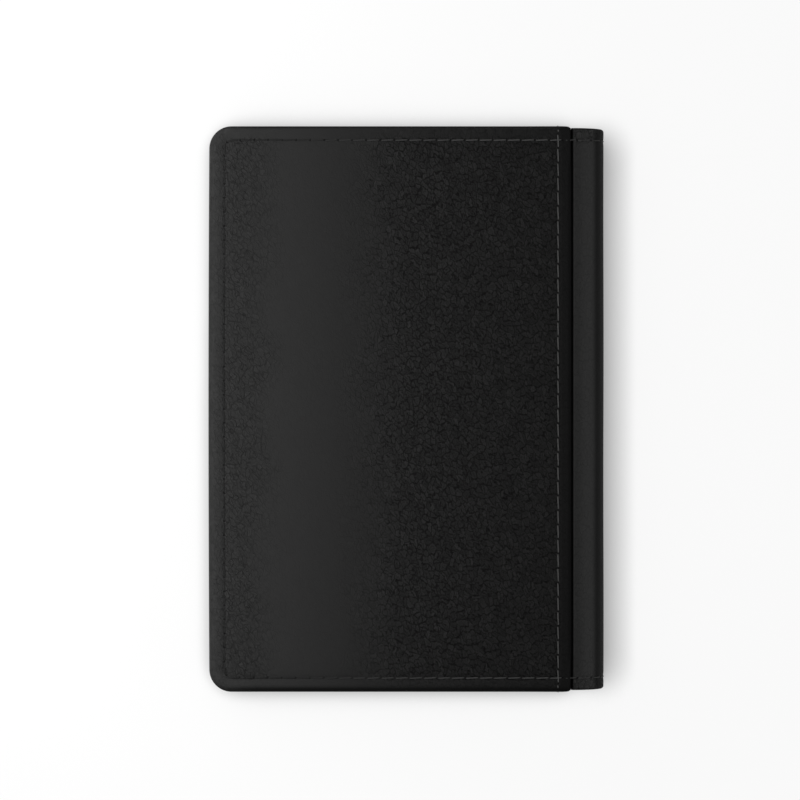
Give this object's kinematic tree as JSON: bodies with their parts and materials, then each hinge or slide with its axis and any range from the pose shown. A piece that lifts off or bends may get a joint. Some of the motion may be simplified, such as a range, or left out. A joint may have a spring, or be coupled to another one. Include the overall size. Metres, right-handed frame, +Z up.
{
  "type": "travel document cover",
  "caption": "Padded black leather-look book cover that folds round a passport, with a rounded spine, stitched edges, a passport sleeve and card slots inside.",
  "frame": {"origin": "middle of the closed cover's outline, on the surface that its front face lies on", "axes": "+Z up out of the back face, +Y towards the head (top edge) along the spine, +X towards the spine"},
  "size_m": [0.103, 0.147, 0.017],
  "materials": {
    "cover_leather": "pebble grain, satin",
    "pocket_leather": "fine grain, matte",
    "lining_cloth": "plain weave, matte",
    "foam": "open cell, matte",
    "board": "grey board, matte",
    "shield_foil": "laminated foil, satin",
    "thread": "twisted polyester"
  },
  "bodies": {
    "front_cover": {"front_leather": "cover_leather", "front_foam": "foam", "front_board": "board", "front_rfid_shield": "shield_foil", "front_lining": "lining_cloth", "front_turn_in_head": "cover_leather", "front_turn_in_tail": "cover_leather", "front_turn_in_fore": "cover_leather", "front_spine_flange": "pocket_leather", "front_edge_seam": "thread", "front_crease_seam": "thread", "passport_sleeve": "pocket_leather", "passport_sleeve_seam": "thread", "front_flange_seam": "thread"},
    "spine_front": {"spine_leather_front": "cover_leather", "spine_lining_front": "lining_cloth", "spine_seam_head_front": "thread", "spine_seam_tail_front": "thread"},
    "spine_back": {"spine_leather_back": "cover_leather", "spine_lining_back": "lining_cloth", "spine_seam_head_back": "thread", "spine_seam_tail_back": "thread"},
    "back_cover": {"back_leather": "cover_leather", "back_foam": "foam", "back_board": "board", "back_rfid_shield": "shield_foil", "back_lining": "lining_cloth", "back_turn_in_head": "cover_leather", "back_turn_in_tail": "cover_leather", "back_turn_in_fore": "cover_leather", "back_spine_flange": "pocket_leather", "back_edge_seam": "thread", "back_crease_seam": "thread", "boarding_pass_pocket": "pocket_leather", "card_slot_1": "pocket_leather", "card_slot_2": "pocket_leather", "card_slot_3": "pocket_leather", "sim_pocket": "pocket_leather", "pocket_seam_fore": "thread", "pocket_seam_crease": "thread", "pocket_seam_tail": "thread"}
  },
  "joints": [
    {"name": "front_crease", "type": "hinge", "parent": "front_cover", "child": "spine_front", "pos_m": [0.043, 0, 0], "axis": [0, 1, 0], "range_deg": [0, 45]},
    {"name": "spine_fold", "type": "hinge", "parent": "spine_front", "child": "spine_back", "pos_m": [0.0515, 0, 0.0085], "axis": [0, 1, 0], "range_deg": [0, 90]},
    {"name": "back_crease", "type": "hinge", "parent": "spine_back", "child": "back_cover", "pos_m": [0.043, 0, 0.017], "axis": [0, 1, 0], "range_deg": [0, 45]}
  ],
  "couplings": [
    {"joint": "front_crease", "follows": "spine_fold", "ratio": 0.5},
    {"joint": "back_crease", "follows": "spine_fold", "ratio": 0.5}
  ]
}
